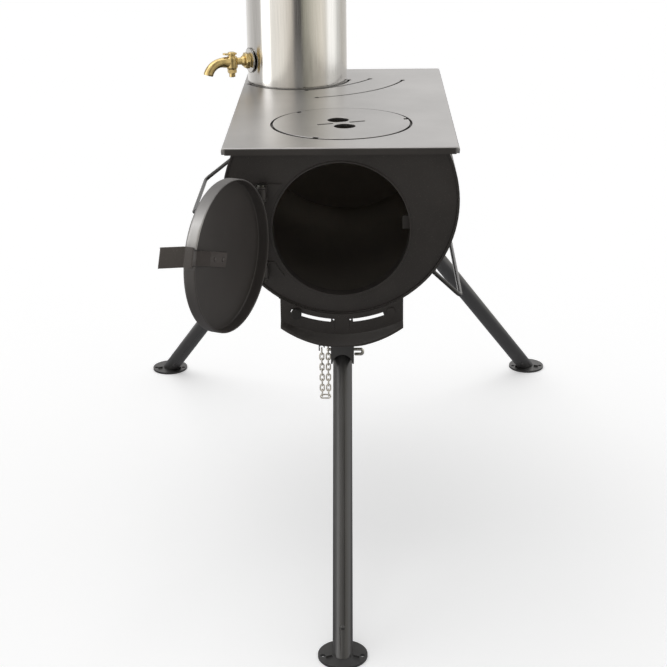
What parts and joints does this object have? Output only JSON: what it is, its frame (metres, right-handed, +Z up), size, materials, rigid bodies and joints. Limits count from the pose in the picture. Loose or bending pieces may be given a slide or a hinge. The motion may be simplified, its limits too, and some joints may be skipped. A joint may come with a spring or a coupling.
{
  "type": "tent wood stove",
  "caption": "Portable wood stove: steel drum on folding legs, flat cook-top, lift-out hot plate, round hinged door, sliding air vent, and a tapped water tank round the flue.",
  "frame": {"origin": "on the floor, in the middle of the footprint of the three feet", "axes": "+Z up, -Y towards the door and the front leg, +X to the right seen from the door"},
  "size_m": [0.6246, 0.89, 0.823],
  "materials": {
    "black_steel": "satin heat-resistant black on steel",
    "bright_steel": "polished stainless sheet",
    "pipe_steel": "plain stainless sheet",
    "zinc": "zinc plated",
    "brass": "machined brass",
    "rubber": "matt rubber",
    "dark_steel": "black steel wire and hardware",
    "knob": "matt heat-proof plastic"
  },
  "bodies": {
    "stove": {"firebox_shell": "black_steel", "front_plate": "black_steel", "rear_plate": "black_steel", "opening_collar": "black_steel", "catch_tab": "black_steel", "cook_top": "black_steel", "hot_plate_ring": "black_steel", "flue_collar": "black_steel", "hinge_leaves": "black_steel", "hinge_pins": "zinc", "air_scoop": "black_steel", "scoop_bolt": "dark_steel", "slider_clips": "black_steel", "front_leg_bracket": "black_steel", "pin_chain": "zinc", "rear_leg_brackets": "black_steel", "rear_leg_bolts": "zinc", "handle_lugs": "black_steel", "bail_lugs": "black_steel"},
    "door": {"door_pan": "black_steel", "door_straps": "black_steel", "door_handle": "black_steel", "door_rivets": "dark_steel"},
    "hot_plate": {"hot_plate": "black_steel"},
    "tank": {"tank_shell": "bright_steel", "tank_floor": "pipe_steel", "tank_sleeve": "pipe_steel", "tap_washer": "rubber", "tap_back_nut": "brass", "tap_body": "brass"},
    "tank_lid": {"tank_lid": "bright_steel", "tank_lid_knob": "knob"},
    "tap_plug": {"tap_plug": "brass", "tap_plug_nut": "brass"},
    "flue_pipe": {"flue_pipe": "pipe_steel"},
    "air_slider": {"air_slider": "black_steel", "slider_knob": "knob"},
    "front_leg": {"front_leg_tube": "black_steel", "front_foot": "black_steel"},
    "front_button": {"front_leg_button": "zinc"},
    "leg_pin": {"front_leg_pin": "zinc"},
    "left_leg": {"left_leg_tube": "black_steel", "left_foot": "black_steel"},
    "left_button": {"left_leg_button": "zinc"},
    "right_leg": {"right_leg_tube": "black_steel", "right_foot": "black_steel"},
    "right_button": {"right_leg_button": "zinc"},
    "carry_handle": {"carry_handle": "dark_steel"},
    "left_bail": {"left_bail": "dark_steel"},
    "right_bail": {"right_bail": "dark_steel"}
  },
  "joints": [
    {"name": "door_hinge", "type": "hinge", "parent": "stove", "child": "door", "pos_m": [-0.087, -0.2273, 0.4215], "axis": [0, 0, 1], "range_deg": [-20, 114]},
    {"name": "hot_plate_lift", "type": "slide", "parent": "stove", "child": "hot_plate", "axis": [0, 0, 1], "range_m": [0, 0.06]},
    {"name": "tank_lift", "type": "slide", "parent": "stove", "child": "tank", "axis": [0, 0, 1], "range_m": [0, 0.06]},
    {"name": "tank_lid_lift", "type": "slide", "parent": "tank", "child": "tank_lid", "axis": [0, 0, 1], "range_m": [0, 0.04]},
    {"name": "tap_turn", "type": "hinge", "parent": "tank", "child": "tap_plug", "pos_m": [-0.14343, 0.11683, 0.548], "axis": [0, 0, 1], "range_deg": [0, 90]},
    {"name": "flue_lift", "type": "slide", "parent": "stove", "child": "flue_pipe", "axis": [0, 0, 1], "range_m": [0, 0.035]},
    {"name": "air_slide", "type": "hinge", "parent": "stove", "child": "air_slider", "pos_m": [0, -0.2, 0.453], "axis": [0, -1, 0], "range_deg": [0, 4.5]},
    {"name": "front_leg_fold", "type": "hinge", "parent": "stove", "child": "front_leg", "pos_m": [0, -0.186, 0.267], "axis": [1, 0, 0], "range_deg": [0, 130]},
    {"name": "front_button_press", "type": "slide", "parent": "front_leg", "child": "front_button", "axis": [0, 0.7548, -0.6559], "range_m": [0, 0.0022], "stiffness_N_per_m": 300},
    {"name": "leg_pin_pull", "type": "slide", "parent": "stove", "child": "leg_pin", "axis": [1, 0, 0], "range_m": [0, 0.032]},
    {"name": "left_leg_fold", "type": "hinge", "parent": "stove", "child": "left_leg", "pos_m": [-0.07993, 0.165, 0.32607], "axis": [-0.8462, 0, 0.5329], "range_deg": [0, 122]},
    {"name": "left_button_press", "type": "slide", "parent": "left_leg", "child": "left_button", "axis": [0.2925, 0.8359, 0.4644], "range_m": [0, 0.0022], "stiffness_N_per_m": 300},
    {"name": "right_leg_fold", "type": "hinge", "parent": "stove", "child": "right_leg", "pos_m": [0.07993, 0.165, 0.32607], "axis": [-0.8462, 0, -0.5329], "range_deg": [0, 122]},
    {"name": "right_button_press", "type": "slide", "parent": "right_leg", "child": "right_button", "axis": [-0.2925, 0.8359, 0.4644], "range_m": [0, 0.0022], "stiffness_N_per_m": 300},
    {"name": "carry_handle_swing", "type": "hinge", "parent": "stove", "child": "carry_handle", "pos_m": [-0.13376, 0.087, 0.42113], "axis": [0, 1, 0], "range_deg": [0, 70]},
    {"name": "left_bail_swing", "type": "hinge", "parent": "stove", "child": "left_bail", "pos_m": [-0.10298, -0.06, 0.36189], "axis": [0, 1, 0], "range_deg": [0, 80]},
    {"name": "right_bail_swing", "type": "hinge", "parent": "stove", "child": "right_bail", "pos_m": [0.10298, -0.06, 0.36189], "axis": [0, -1, 0], "range_deg": [0, 80]}
  ]
}
